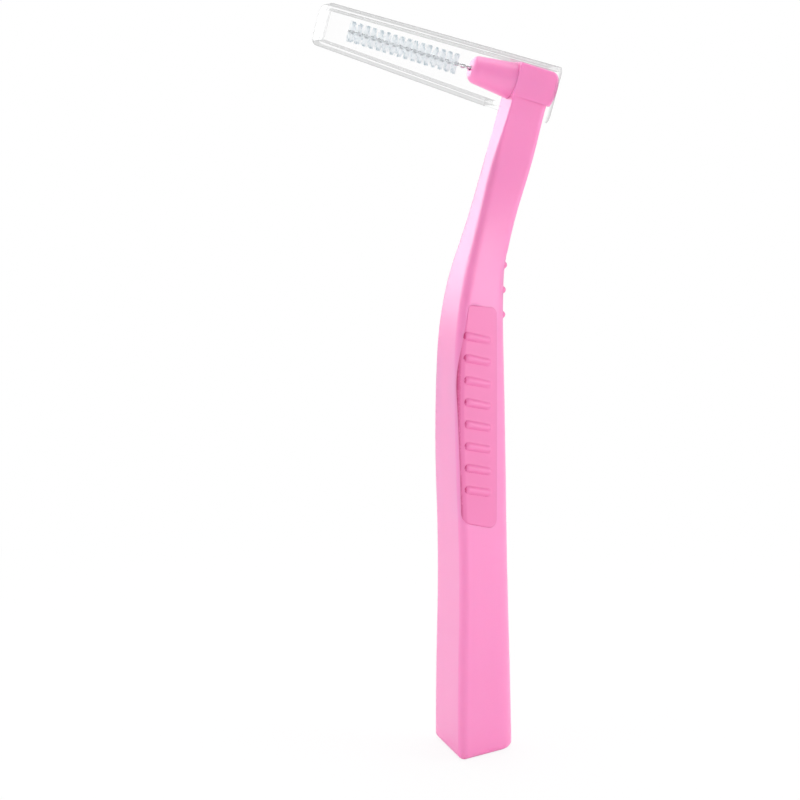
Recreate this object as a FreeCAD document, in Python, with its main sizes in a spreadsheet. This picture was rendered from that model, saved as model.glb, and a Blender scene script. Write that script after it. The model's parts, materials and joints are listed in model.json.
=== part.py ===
import FreeCAD, Part
import math
import os

import Sketcher
from FreeCAD import Placement, Rotation, Vector

# Interdental brush with its cap on. Millimetres, +Z up the handle, origin at the centre of
# the flat base. The brush points towards -X, so the left side of the handle is -Y.

DOC = FreeCAD.newDocument("interdental_brush")
SHEET = DOC.addObject("Spreadsheet::Sheet", "sizes")

# Driving dimensions: name, value, meaning
SIZES = [
    ("base_depth", 8.48, "handle, front to back at the base"),
    ("base_width", 10.6, "handle, across at the base"),
    ("base_front_round", 0.85, "front edges at the base"),
    ("base_back_round", 3.0, "back edges at the base"),
    ("base_back_flat", 0.5, "flat left on the back at the base"),
    ("base_edge_round", 0.8, "fillet round the foot of the handle"),

    ("lower_rise", 14.0, "base to the lower grip, along Z"),
    ("lower_centre", -0.19, "middle of the lower grip along X"),
    ("lower_depth", 8.0, "lower grip, front to back"),
    ("lower_width", 10.3, "lower grip, across"),
    ("lower_front_round", 0.8, "front edges at the lower grip"),
    ("lower_back_round", 2.9, "back edges at the lower grip"),
    ("lower_back_flat", 0.5, "flat on the back at the lower grip"),

    ("waist_rise", 14.0, "lower grip to waist"),
    ("waist_centre", -0.42, "middle of the waist along X"),
    ("waist_depth", 7.57, "waist, front to back"),
    ("waist_width", 10.0, "waist, across"),
    ("waist_front_round", 0.8, "front edges at the waist"),
    ("waist_back_round", 2.8, "back edges at the waist"),
    ("waist_back_flat", 0.5, "flat on the back at the waist"),

    ("swell_rise", 19.0, "waist to swell"),
    ("swell_centre", -0.86, "middle of the swell along X"),
    ("swell_depth", 7.52, "swell, front to back"),
    ("swell_width", 9.0, "swell, across"),
    ("swell_front_round", 0.9, "front edges at the swell"),
    ("swell_back_round", 2.65, "back edges at the swell"),
    ("swell_back_flat", 0.5, "flat on the back at the swell"),

    ("shoulder_rise", 9.6, "swell to shoulder"),
    ("shoulder_centre", -0.64, "middle of the shoulder along X"),
    ("shoulder_depth", 6.67, "shoulder, front to back"),
    ("shoulder_width", 7.9, "shoulder, across"),
    ("shoulder_front_round", 0.9, "front edges at the shoulder"),
    ("shoulder_back_round", 2.3, "back edges at the shoulder"),
    ("shoulder_back_flat", 0.5, "flat on the back at the shoulder"),

    ("bend_rise", 3.7, "shoulder to bend"),
    ("bend_centre", -0.22, "middle of the bend along X"),
    ("bend_depth", 5.99, "bend, front to back"),
    ("bend_width", 7.2, "bend, across"),
    ("bend_front_round", 0.75, "front edges at the bend"),
    ("bend_back_round", 1.9, "back edges at the bend"),
    ("bend_back_flat", 0.6, "flat on the back at the bend"),

    ("lean", 15.6, "lean of the neck off Z, in degrees"),
    ("throat_rise", 4.4, "bend to throat"),
    ("throat_centre", 0.78, "middle of the throat along X"),
    ("throat_depth", 5.2, "throat, square to the neck"),
    ("throat_width", 5.8, "throat, across"),
    ("throat_front_round", 0.5, "front edges at the throat"),
    ("throat_back_round", 1.4, "back edges at the throat"),
    ("throat_back_flat", 1.0, "flat on the back at the throat"),

    ("slim_rise", 8.3, "throat to the slimmest neck"),
    ("slim_depth", 5.15, "slimmest neck, square to it"),
    ("slim_width", 3.95, "slimmest neck, across"),
    ("slim_front_round", 0.3, "front edges at the slimmest neck"),
    ("slim_back_round", 0.7, "back edges at the slimmest neck"),
    ("slim_back_flat", 1.9, "flat on the back at the slimmest neck"),

    ("upper_rise", 5.5, "slimmest neck to upper neck"),
    ("upper_depth", 4.85, "upper neck, square to it"),
    ("upper_width", 4.15, "upper neck, across"),
    ("upper_front_round", 0.25, "front edges at the upper neck"),
    ("upper_back_round", 0.7, "back edges at the upper neck"),
    ("upper_back_flat", 2.4, "flat on the back at the upper neck"),

    ("crown_rise", 6.0, "upper neck to crown, inside the head"),
    ("crown_depth", 4.8, "crown, square to the neck"),
    ("crown_width", 4.6, "crown, across"),
    ("crown_front_round", 0.25, "front edges at the crown"),
    ("crown_back_round", 0.7, "back edges at the crown"),
    ("crown_back_flat", 3.0, "flat on the back at the crown"),

    ("brush_drop", 0.86, "crown down to the brush axis, along Z"),
    ("head_width", 4.7, "head block, across"),
    ("head_front", 2.45, "brush crossing to the front of the head"),
    ("head_back", 3.0, "brush crossing to the back of the head"),
    ("head_top", 2.3, "brush axis to the top of the head"),
    ("head_bottom", 1.9, "brush axis to the foot of the head"),
    ("head_back_curve", 5.5, "radius of the back of the head"),
    ("head_back_middle", 0.2, "brush axis to the middle of that curve"),
    ("head_corner", 1.05, "radius of the top back corner"),
    ("head_edge_round", 0.4, "rounded top edges of the head"),

    ("nozzle_length", 5.45, "brush holder in front of the head"),
    ("nozzle_root", 2.26, "radius of the nozzle at the head"),
    ("nozzle_tip", 1.72, "radius of the nozzle at its end"),
    ("nozzle_edge_round", 0.9, "rounded edge of the nozzle's end"),
    ("spigot_radius", 1.5, "spigot pressed into the head"),
    ("spigot_length", 3.2, "depth of the spigot in the head"),

    ("wire_radius", 0.12, "steel wire"),
    ("strand_offset", 0.18, "wire centre to the brush axis"),
    ("twist_pitch", 1.8, "length of one full twist"),
    ("wire_anchor", 5.0, "wire held inside the holder"),
    ("wire_clearance", 0.02, "gap between the twisted wire and its bore"),
    ("brush_reach", 16.1, "end of the nozzle to the end of the wire"),

    ("bare_length", 1.2, "bare wire between nozzle and bristles"),
    ("bristle_length", 14.2, "row of bristles along the wire"),
    ("bristle_span", 2.5, "filament from tip to tip"),
    ("filament_radius", 0.05, "nylon filament"),
    ("filament_step", 0.115, "from one filament to the next along the wire"),

    ("pad_recess", 0.16, "pad below the handle's side"),
    ("pad_floor", 1.6, "middle plane to the floor of the recess"),
    ("pad_top_gap", 0.5, "top of the pad above the shoulder"),
    ("pad_bottom_gap", 2.0, "bottom of the pad above the waist"),
    ("pad_top_drop", 0.35, "pad's top lower at its back than at its front"),
    ("pad_bottom_drop", 0.8, "pad's bottom lower at its back than at its front"),
    ("pad_top_setback", 1.62, "pad's top corner behind the swell's front"),
    ("pad_swell_setback", 0.12, "pad's front edge behind the swell's front"),
    ("pad_bottom_setback", 0.15, "pad's bottom corner behind the waist's front"),
    ("pad_back_gap", 1.65, "back of the pad ahead of the swell's back"),
    ("pad_front_curve", 22.0, "radius of the pad's front edge at the swell"),
    ("pad_top_corner", 0.6, "radius of its top front corner"),
    ("pad_bottom_corner", 1.6, "radius of its bottom front corner"),
    ("pad_back_corner", 1.0, "radius of its two back corners"),

    ("rib_count", 8.0, "ribs on each side pad"),
    ("rib_radius", 0.43, "half the height of a rib"),
    ("rib_length", 4.1, "rib from end to end"),
    ("rib_setback", 1.12, "front end of the ribs behind the swell's front"),
    ("rib_first_gap", 3.1, "first rib's front end below the shoulder"),
    ("rib_step", 2.71, "from one rib to the next"),
    ("rib_slope", 14.2, "ribs fall towards the back, in degrees"),
    ("rib_tuck", 20.8, "ribs turn in towards the back, in degrees"),
    ("rib_first_lift", 0.19, "first rib's axis outside half the shoulder's width"),
    ("rib_last_sink", 0.26, "last rib's axis inside half the waist's width"),

    ("rear_depth", 1.1, "rear recess below the shoulder's back"),
    ("rear_bottom_gap", 2.9, "bottom of the rear pad below the shoulder"),
    ("rear_height", 9.8, "rear pad along Z"),
    ("rear_width", 3.0, "rear pad, across"),
    ("rear_corner", 1.0, "radius of its corners"),
    ("rear_recess", 0.05, "rear pad below the handle's back"),
    ("rear_rib_count", 3.0, "ribs on the rear pad"),
    ("rear_rib_radius", 0.43, "half the height of a rear rib"),
    ("rear_rib_length", 2.8, "rear rib from end to end"),
    ("rear_rib_first_gap", 1.0, "lowest rear rib below the shoulder"),
    ("rear_rib_step", 3.08, "from one rear rib to the next"),
    ("rear_rib_proud", 0.12, "rear rib above the handle's back"),
    ("rear_rib_climb", 0.19, "top rear rib behind the lowest one"),

    ("cap_wall", 0.6, "wall of the cap"),
    ("cap_clearance", 0.2, "gap between the cap and the head at the mouth"),
    ("cap_mouth", 2.6, "brush crossing back to the mouth"),
    ("cap_end", 27.5, "brush crossing to the closed end"),
    ("cap_mouth_drop", 4.05, "brush axis to the underside at the mouth"),
    ("cap_end_height", 5.0, "closed end, top to bottom"),
    ("cap_end_width", 4.9, "closed end, across"),
    ("cap_end_sag", 0.1, "closed end's middle below the brush axis"),
    ("cap_corner", 1.1, "outer corners of the cap's section"),
    ("cap_end_round", 0.7, "rounded edge of the closed end"),
    ("slot_front", 4.5, "brush crossing to the front of the slot"),
    ("slot_clearance", 0.1, "slot wider than the neck, on each side"),
    ("slot_corner", 0.9, "radius of the slot's front corners"),
]

# Sizes worked out from them
DERIVED = [
    ("lower_level", "=lower_rise", "Z of the lower grip"),
    ("waist_level", "=lower_level + waist_rise", "Z of the waist"),
    ("swell_level", "=waist_level + swell_rise", "Z of the swell"),
    ("shoulder_level", "=swell_level + shoulder_rise", "Z of the shoulder"),
    ("bend_level", "=shoulder_level + bend_rise", "Z of the bend"),
    ("throat_level", "=bend_level + throat_rise", "Z of the throat"),
    ("slim_level", "=throat_level + slim_rise", "Z of the slimmest neck"),
    ("upper_level", "=slim_level + upper_rise", "Z of the upper neck"),
    ("crown_level", "=upper_level + crown_rise", "Z of the crown"),
    ("slim_centre", "=throat_centre + slim_rise * tan(lean)", "X of the slimmest neck"),
    ("upper_centre", "=slim_centre + upper_rise * tan(lean)", "X of the upper neck"),
    ("crown_centre", "=upper_centre + crown_rise * tan(lean)", "X of the crown"),
    ("throat_slice", "=throat_depth / cos(lean)", "level slice through the throat"),
    ("slim_slice", "=slim_depth / cos(lean)", "level slice through the slimmest neck"),
    ("upper_slice", "=upper_depth / cos(lean)", "level slice through the upper neck"),
    ("crown_slice", "=crown_depth / cos(lean)", "level slice through the crown"),
    ("cross_level", "=crown_level - brush_drop", "Z where brush and neck cross"),
    ("cross_place", "=crown_centre - brush_drop * tan(lean)", "X where brush and neck cross"),
    ("brush_turn", "=lean - 90", "turn about Y that lays Z along the brush"),
    ("nozzle_end", "=head_front + nozzle_length", "brush crossing to the nozzle's end"),
    ("bore_radius", "=strand_offset + wire_radius + wire_clearance", "bore for the twisted wire"),
    ("wire_start", "=nozzle_end - wire_anchor", "brush crossing to the root of the wire"),
    ("bore_floor", "=wire_start - wire_radius", "brush crossing to the floor of the bore"),
    ("wire_end", "=nozzle_end + brush_reach", "brush crossing to the fold of the wire"),
    ("bristle_start", "=nozzle_end + bare_length", "brush crossing to the first filament"),
    ("swell_front", "=swell_depth / 2 - swell_centre", "front of the swell along -X"),
    ("waist_front", "=waist_depth / 2 - waist_centre", "front of the waist along -X"),
    ("shoulder_back", "=shoulder_depth / 2 + shoulder_centre", "back of the shoulder along X"),
    ("pad_top", "=shoulder_level + pad_top_gap", "top of the pad's front corner"),
    ("pad_bottom", "=waist_level + pad_bottom_gap", "bottom of the pad's front corner"),
    ("pad_back", "=swell_depth / 2 + swell_centre - pad_back_gap", "back of the pad along X"),
    ("rib_front", "=swell_front - rib_setback", "front end of the ribs along -X"),
    ("rib_first", "=shoulder_level - rib_first_gap", "level of the first rib's front end"),
    ("rib_first_reach", "=shoulder_width / 2 + rib_first_lift", "first rib's axis off the middle plane"),
    ("rib_last_reach", "=waist_width / 2 - rib_last_sink", "last rib's axis off the middle plane"),
    ("rear_floor", "=shoulder_back - rear_depth", "X of the floor of the rear recess"),
    ("rear_bottom", "=shoulder_level - rear_bottom_gap", "Z of the bottom of the rear pad"),
    ("rear_rib_first", "=shoulder_level - rear_rib_first_gap", "level of the lowest rear rib"),
    ("rear_rib_reach", "=shoulder_back + rear_rib_proud - rear_rib_radius", "X of the lowest rear rib's axis"),
    ("cap_mouth_top", "=head_top + cap_clearance + cap_wall", "brush axis to the top at the mouth"),
    ("cap_mouth_height", "=cap_mouth_top + cap_mouth_drop", "mouth, top to bottom"),
    ("cap_mouth_width", "=head_width + 2 * (cap_clearance + cap_wall)", "mouth, across"),
    ("cap_mouth_sag", "=(cap_mouth_drop - cap_mouth_top) / 2", "mouth's middle below the brush axis"),
    ("slot_width", "=crown_width + 2 * slot_clearance", "slot for the neck, across"),
]

for row, (alias, value, meaning) in enumerate(SIZES + DERIVED, start=1):
    SHEET.set("A%d" % row, meaning)
    SHEET.set("B%d" % row, str(value))
    SHEET.setAlias("B%d" % row, alias)
DOC.recompute()
V = {alias: float(SHEET.get(alias)) for alias, value, meaning in SIZES + DERIVED}


# Helpers for bodies, sketches and bound sizes

def new_body(name):
    body = DOC.addObject("PartDesign::Body", name)
    body.Label = name
    return body


def along_brush(target):
    # Local +Z runs along the brush to its tip, local +X up the neck
    target.Placement = Placement(Vector(0, 0, 0), Rotation(Vector(0, 1, 0), V["brush_turn"]))
    bind(target, "Placement.Base.x", "{cross_place}")
    bind(target, "Placement.Base.z", "{cross_level}")
    bind(target, "Placement.Rotation.Angle", "{brush_turn} * 1 deg")


def bind(target, path, formula):
    cells = {alias: "sizes." + alias for alias in V}
    target.setExpression(path, formula.format_map(cells))


def sketch_on(body, name, role):
    sketch = body.newObject("Sketcher::SketchObject", name)
    plane = next(f for f in body.Origin.OriginFeatures if f.Role == role)
    sketch.AttachmentSupport = (plane, "")
    sketch.MapMode = "FlatFace"
    return sketch


def dimension(sketch, name, formula, *where):
    # where ends with the value at the start, which the bound formula then drives
    index = sketch.addConstraint(Sketcher.Constraint(*where))
    sketch.renameConstraint(index, name)
    bind(sketch, "Constraints." + name, formula)


def arc(centre, radius, start, end):
    circle = Part.Circle(Vector(centre[0], centre[1], 0), Vector(0, 0, 1), radius)
    return Part.ArcOfCircle(circle, start, end)


def line(start, end):
    return Part.LineSegment(Vector(start[0], start[1], 0), Vector(end[0], end[1], 0))


def tangent_angle(c1, r1, c2, r2):
    # Direction of the outward normal of the line that touches both circles on its right
    dx = c2[0] - c1[0]
    dy = c2[1] - c1[1]
    return math.atan2(dy, dx) - math.acos((r1 - r2) / math.hypot(dx, dy))


def on_circle(centre, radius, angle):
    return (centre[0] + radius * math.cos(angle), centre[1] + radius * math.sin(angle))


def join_tangent(sketch, count):
    for i in range(count):
        sketch.addConstraint(Sketcher.Constraint("Tangent", i, 2, (i + 1) % count, 1))


def belt(sketch, circles):
    # Closed outline of arcs joined by the lines that touch them: lines 0, 2, 4 and so on,
    # where line 2k leaves arc 2k - 1 and meets arc 2k + 1
    count = len(circles)
    normals = []
    for k in range(count):
        c1, r1 = circles[k - 1]
        c2, r2 = circles[k]
        normals.append(tangent_angle(c1, r1, c2, r2))
    for k in range(count):
        c1, r1 = circles[k - 1]
        c2, r2 = circles[k]
        leave = normals[k]
        turn = normals[(k + 1) % count]
        while turn < leave:
            turn += 2 * math.pi
        sketch.addGeometry(line(on_circle(c1, r1, leave), on_circle(c2, r2, leave)), False)
        sketch.addGeometry(arc(c2, r2, leave, turn), False)
    join_tangent(sketch, 2 * count)


# Handle sections
GRIP_STATIONS = ["base", "lower", "waist", "swell", "shoulder", "bend", "throat"]
NECK_STATIONS = ["slim", "upper", "crown"]
LEANING = ["throat"] + NECK_STATIONS


def handle_section(prefix, station, width, shift):
    # A flat front, two sides that close in and a round back, mirrored about the X axis
    sketch = DOC.addObject("Sketcher::SketchObject", prefix + "_" + station)
    centre = "0" if station == "base" else "{%s_centre}" % station
    bind(sketch, "Placement.Base.x", centre + shift)
    if station != "base":
        bind(sketch, "Placement.Base.z", "{%s_level}" % station)
    depth = station + ("_slice" if station in LEANING else "_depth")
    front_round = V[station + "_front_round"]
    back_round = V[station + "_back_round"]
    front = V[depth] / 2 - front_round
    back = V[depth] / 2 - back_round
    side = V[station + "_width"] / 2 - front_round
    flat = V[station + "_back_flat"] / 2
    belt(sketch, [((-front, -side), front_round), ((back, -flat), back_round),
                  ((back, flat), back_round), ((-front, side), front_round)])
    sketch.addConstraint(Sketcher.Constraint("Equal", 1, 7))
    sketch.addConstraint(Sketcher.Constraint("Equal", 3, 5))
    sketch.addConstraint(Sketcher.Constraint("Symmetric", 1, 3, 7, 3, -1))
    sketch.addConstraint(Sketcher.Constraint("Symmetric", 3, 3, 5, 3, -1))
    names = {"d": "{" + depth + "}", "f": "{%s_front_round}" % station, "b": "{%s_back_round}" % station,
             "w": width.replace("STATION", station), "t": "{%s_back_flat}" % station}
    dimension(sketch, "front_round", "%(f)s" % names, "Radius", 1, front_round)
    dimension(sketch, "back_round", "%(b)s" % names, "Radius", 3, back_round)
    dimension(sketch, "front_reach", "%(d)s / 2 - %(f)s" % names, "DistanceX", 1, 3, -1, 1, front)
    dimension(sketch, "back_reach", "%(d)s / 2 - %(b)s" % names, "DistanceX", -1, 1, 3, 3, back)
    dimension(sketch, "side_reach", "(%(w)s) / 2 - %(f)s" % names, "DistanceY", 1, 3, -1, 1, side)
    dimension(sketch, "back_flat", "%(t)s / 2" % names, "DistanceY", 3, 3, -1, 1, flat)
    return sketch


def body_from_loft(name, sections):
    # A body that starts from a smooth loft through loose sketches
    loft = DOC.addObject("Part::Loft", name + "_loft")
    loft.Sections = sections
    loft.Solid = True
    loft.MaxDegree = 2
    DOC.recompute()
    body = new_body(name)
    body.BaseFeature = loft
    DOC.recompute()
    return body


def handle_body(name, width="{STATION_width}", shift="", stations=GRIP_STATIONS):
    return body_from_loft(name, [handle_section(name, station, width, shift) for station in stations])


# Handle: tapered grip, leaning neck and head block with the holder's socket

def head_profile(sketch):
    # Local X runs back along the brush axis, local Y up the neck
    turn = Rotation(Vector(0, 0, 1), -V["lean"])
    sketch.AttachmentOffset = Placement(Vector(V["cross_place"], V["cross_level"], 0), turn)
    bind(sketch, "AttachmentOffset.Base.x", "{cross_place}")
    bind(sketch, "AttachmentOffset.Base.y", "{cross_level}")
    bind(sketch, "AttachmentOffset.Rotation.Angle", "-{lean} * 1 deg")


def add_head(body):
    sketch = sketch_on(body, "head_side", "XZ_Plane")
    head_profile(sketch)
    front = -V["head_front"]
    top = V["head_top"]
    bottom = -V["head_bottom"]
    curve = V["head_back_curve"]
    corner = V["head_corner"]
    middle = (V["head_back"] - curve, V["head_back_middle"])
    foot = math.asin((bottom - middle[1]) / curve)
    corner_y = top - corner
    lift = math.asin((corner_y - middle[1]) / (curve - corner))
    corner_at = on_circle(middle, curve - corner, lift)
    foot_at = on_circle(middle, curve, foot)
    sketch.addGeometry(line((front, top), (front, bottom)), False)
    sketch.addGeometry(line((front, bottom), foot_at), False)
    sketch.addGeometry(arc(middle, curve, foot, lift), False)
    sketch.addGeometry(arc(corner_at, corner, lift, math.pi / 2), False)
    sketch.addGeometry(line((corner_at[0], top), (front, top)), False)
    for first, second in ((0, 1), (1, 2), (4, 0)):
        sketch.addConstraint(Sketcher.Constraint("Coincident", first, 2, second, 1))
    sketch.addConstraint(Sketcher.Constraint("Tangent", 2, 2, 3, 1))
    sketch.addConstraint(Sketcher.Constraint("Tangent", 3, 2, 4, 1))
    sketch.addConstraint(Sketcher.Constraint("Vertical", 0))
    sketch.addConstraint(Sketcher.Constraint("Horizontal", 1))
    sketch.addConstraint(Sketcher.Constraint("Horizontal", 4))
    dimension(sketch, "front", "{head_front}", "DistanceX", 0, 1, -1, 1, V["head_front"])
    dimension(sketch, "top", "{head_top}", "DistanceY", -1, 1, 0, 1, top)
    dimension(sketch, "bottom", "{head_bottom}", "DistanceY", 0, 2, -1, 1, V["head_bottom"])
    dimension(sketch, "curve", "{head_back_curve}", "Radius", 2, curve)
    dimension(sketch, "curve_place", "{head_back_curve} - {head_back}", "DistanceX", 2, 3, -1, 1, -middle[0])
    dimension(sketch, "curve_level", "{head_back_middle}", "DistanceY", -1, 1, 2, 3, middle[1])
    dimension(sketch, "corner", "{head_corner}", "Radius", 3, corner)
    pad = body.newObject("PartDesign::Pad", "head_block")
    pad.Profile = sketch
    pad.Midplane = True
    bind(pad, "Length", "{head_width}")
    DOC.recompute()


def box_sketch(sketch, left, bottom, right, top):
    # Four lines from corner to corner, driven by formulas measured from the sketch's origin
    corners = [(-left[1], -bottom[1]), (right[1], -bottom[1]), (right[1], top[1]), (-left[1], top[1])]
    first = sketch.GeometryCount
    for i in range(4):
        sketch.addGeometry(line(corners[i], corners[(i + 1) % 4]), False)
    for i in range(4):
        sketch.addConstraint(Sketcher.Constraint("Coincident", first + i, 2, first + (i + 1) % 4, 1))
    for i in (0, 2):
        sketch.addConstraint(Sketcher.Constraint("Horizontal", first + i))
        sketch.addConstraint(Sketcher.Constraint("Vertical", first + i + 1))
    dimension(sketch, "box_left", left[0], "DistanceX", first, 1, -1, 1, left[1])
    dimension(sketch, "box_bottom", bottom[0], "DistanceY", first, 1, -1, 1, bottom[1])
    dimension(sketch, "box_right", right[0], "DistanceX", -1, 1, first + 2, 1, right[1])
    dimension(sketch, "box_top", top[0], "DistanceY", -1, 1, first + 2, 1, top[1])


def round_head(body):
    # The two top edges that run along the brush, and what carries on from them
    up = Vector(math.sin(math.radians(V["lean"])), 0, math.cos(math.radians(V["lean"])))
    cross = Vector(V["cross_place"], 0, V["cross_level"])
    near = 0.001
    base = body.Tip
    names = []
    for i, edge in enumerate(base.Shape.Edges):
        first, last = edge.Vertexes[0].Point, edge.Vertexes[-1].Point
        on_top = all(abs((p - cross).dot(up) - V["head_top"]) < near for p in (first, last))
        if on_top and abs(first.y - last.y) < near:
            names.append("Edge%d" % (i + 1))
    fillet = body.newObject("PartDesign::Fillet", "head_round")
    fillet.Base = (base, names)
    bind(fillet, "Radius", "{head_edge_round}")
    DOC.recompute()


def add_socket(body):
    sketch = sketch_on(body, "socket_side", "XZ_Plane")
    head_profile(sketch)
    depth = V["spigot_length"] - V["head_front"]
    box_sketch(sketch, ("{head_front}", V["head_front"]), ("0", 0.0),
               ("{spigot_length} - {head_front}", depth), ("{spigot_radius}", V["spigot_radius"]))
    groove = body.newObject("PartDesign::Groove", "socket")
    groove.Profile = sketch
    groove.ReferenceAxis = (sketch, ["H_Axis"])
    groove.Angle = 360
    DOC.recompute()


def edges_at_level(shape, level):
    near = 0.001
    return ["Edge%d" % (i + 1) for i, edge in enumerate(shape.Edges)
            if abs(edge.BoundBox.ZMin - level) < near and abs(edge.BoundBox.ZMax - level) < near]


def round_level(body, name, level, formula):
    base = body.Tip
    fillet = body.newObject("PartDesign::Fillet", name)
    fillet.Base = (base, edges_at_level(base.Shape, level))
    bind(fillet, "Radius", formula)
    DOC.recompute()


def pad_outline(sketch):
    # Side view of a side pad: its swelling front, then the corners from the bottom round to the top
    corner = {"bottom_front": "pad_bottom_corner", "bottom_back": "pad_back_corner",
              "top_back": "pad_back_corner", "top_front": "pad_top_corner"}
    r = {name: V[size] for name, size in corner.items()}
    low = V["pad_bottom"]
    high = V["pad_top"]
    top_drop = V["pad_top_drop"]
    bottom_drop = V["pad_bottom_drop"]
    swell_x = V["pad_front_curve"] - V["swell_front"] + V["pad_swell_setback"]
    bottom_x = V["waist_front"] - V["pad_bottom_setback"] - r["bottom_front"]
    top_x = V["swell_front"] - V["pad_top_setback"] - r["top_front"]
    back_x = V["pad_back"] - r["bottom_back"]
    belt(sketch, [((swell_x, V["swell_level"]), V["pad_front_curve"]),
                  ((-bottom_x, low + r["bottom_front"]), r["bottom_front"]),
                  ((back_x, low - bottom_drop + r["bottom_back"]), r["bottom_back"]),
                  ((back_x, high - top_drop - r["top_back"]), r["top_back"]),
                  ((-top_x, high - r["top_front"]), r["top_front"])])
    dimension(sketch, "swell_round", "{pad_front_curve}", "Radius", 1, V["pad_front_curve"])
    dimension(sketch, "swell_x", "{pad_front_curve} - {swell_front} + {pad_swell_setback}",
              "DistanceX", -1, 1, 1, 3, swell_x)
    dimension(sketch, "swell_z", "{swell_level}", "DistanceY", -1, 1, 1, 3, V["swell_level"])
    dimension(sketch, "bottom_front", "{pad_bottom_corner}", "Radius", 3, r["bottom_front"])
    dimension(sketch, "bottom_x", "{waist_front} - {pad_bottom_setback} - {pad_bottom_corner}",
              "DistanceX", 3, 3, -1, 1, bottom_x)
    dimension(sketch, "bottom_z", "{pad_bottom} + {pad_bottom_corner}",
              "DistanceY", -1, 1, 3, 3, low + r["bottom_front"])
    dimension(sketch, "bottom_back", "{pad_back_corner}", "Radius", 5, r["bottom_back"])
    dimension(sketch, "bottom_back_x", "{pad_back} - {pad_back_corner}", "DistanceX", -1, 1, 5, 3, back_x)
    dimension(sketch, "bottom_back_z", "{pad_bottom} - {pad_bottom_drop} + {pad_back_corner}",
              "DistanceY", -1, 1, 5, 3, low - bottom_drop + r["bottom_back"])
    dimension(sketch, "top_back", "{pad_back_corner}", "Radius", 7, r["top_back"])
    dimension(sketch, "top_back_x", "{pad_back} - {pad_back_corner}", "DistanceX", -1, 1, 7, 3, back_x)
    dimension(sketch, "top_back_z", "{pad_top} - {pad_top_drop} - {pad_back_corner}",
              "DistanceY", -1, 1, 7, 3, high - top_drop - r["top_back"])
    dimension(sketch, "top_front", "{pad_top_corner}", "Radius", 9, r["top_front"])
    dimension(sketch, "top_x", "{swell_front} - {pad_top_setback} - {pad_top_corner}",
              "DistanceX", 9, 3, -1, 1, top_x)
    dimension(sketch, "top_z", "{pad_top} - {pad_top_corner}",
              "DistanceY", -1, 1, 9, 3, high - r["top_front"])


def rear_outline(sketch):
    r = V["rear_corner"]
    side = V["rear_width"] / 2 - r
    low = V["rear_bottom"] + r
    high = V["rear_bottom"] + V["rear_height"] - r
    belt(sketch, [((-side, low), r), ((side, low), r), ((side, high), r), ((-side, high), r)])
    for k in (3, 5, 7):
        sketch.addConstraint(Sketcher.Constraint("Equal", 1, k))
    dimension(sketch, "corner", "{rear_corner}", "Radius", 1, r)
    places = ((1, "left", "low"), (3, "right", "low"), (5, "right", "high"), (7, "left", "high"))
    across = "{rear_width} / 2 - {rear_corner}"
    levels = {"low": ("{rear_bottom} + {rear_corner}", low),
              "high": ("{rear_bottom} + {rear_height} - {rear_corner}", high)}
    for k, hand, level in places:
        ends = (k, 3, -1, 1) if hand == "left" else (-1, 1, k, 3)
        dimension(sketch, "across_%d" % k, across, "DistanceX", *ends, side)
        dimension(sketch, "level_%d" % k, levels[level][0], "DistanceY", -1, 1, k, 3, levels[level][1])


def cut(body, name, sketch, reverse, length):
    pocket = body.newObject("PartDesign::Pocket", name)
    pocket.Profile = sketch
    pocket.Reversed = reverse
    bind(pocket, "Length", length)
    DOC.recompute()
    return pocket


def make_handle():
    body = handle_body("handle", stations=GRIP_STATIONS + NECK_STATIONS)
    round_level(body, "foot_round", 0.0, "{base_edge_round}")
    add_head(body)
    round_head(body)
    add_socket(body)
    for name, offset, reverse in (("left_recess", "{pad_floor}", True), ("right_recess", "-{pad_floor}", False)):
        sketch = sketch_on(body, name + "_outline", "XZ_Plane")
        bind(sketch, "AttachmentOffset.Base.z", offset)
        pad_outline(sketch)
        cut(body, name, sketch, reverse, "{base_width}")
    sketch = sketch_on(body, "rear_recess_outline", "YZ_Plane")
    bind(sketch, "AttachmentOffset.Base.z", "{rear_floor}")
    rear_outline(sketch)
    cut(body, "rear_cut", sketch, True, "{base_depth}")
    return body


# Soft pads: the handle's own surface, sunk a little, inside the outline of its recess

def keep_inside(body, name, role, outline):
    sketch = sketch_on(body, name + "_outline", role)
    outline(sketch)
    reach = ("{crown_level}", V["crown_level"])
    box_sketch(sketch, reach, reach, reach, reach)
    pocket = cut(body, name, sketch, False, "2 * {crown_level}")
    pocket.Midplane = True
    DOC.recompute()


def keep_above(body, name, role, offset):
    sketch = sketch_on(body, name + "_plane", role)
    bind(sketch, "AttachmentOffset.Base.z", offset)
    reach = ("{crown_level}", V["crown_level"])
    box_sketch(sketch, reach, reach, reach, reach)
    cut(body, name, sketch, False, "{crown_level}")


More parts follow.
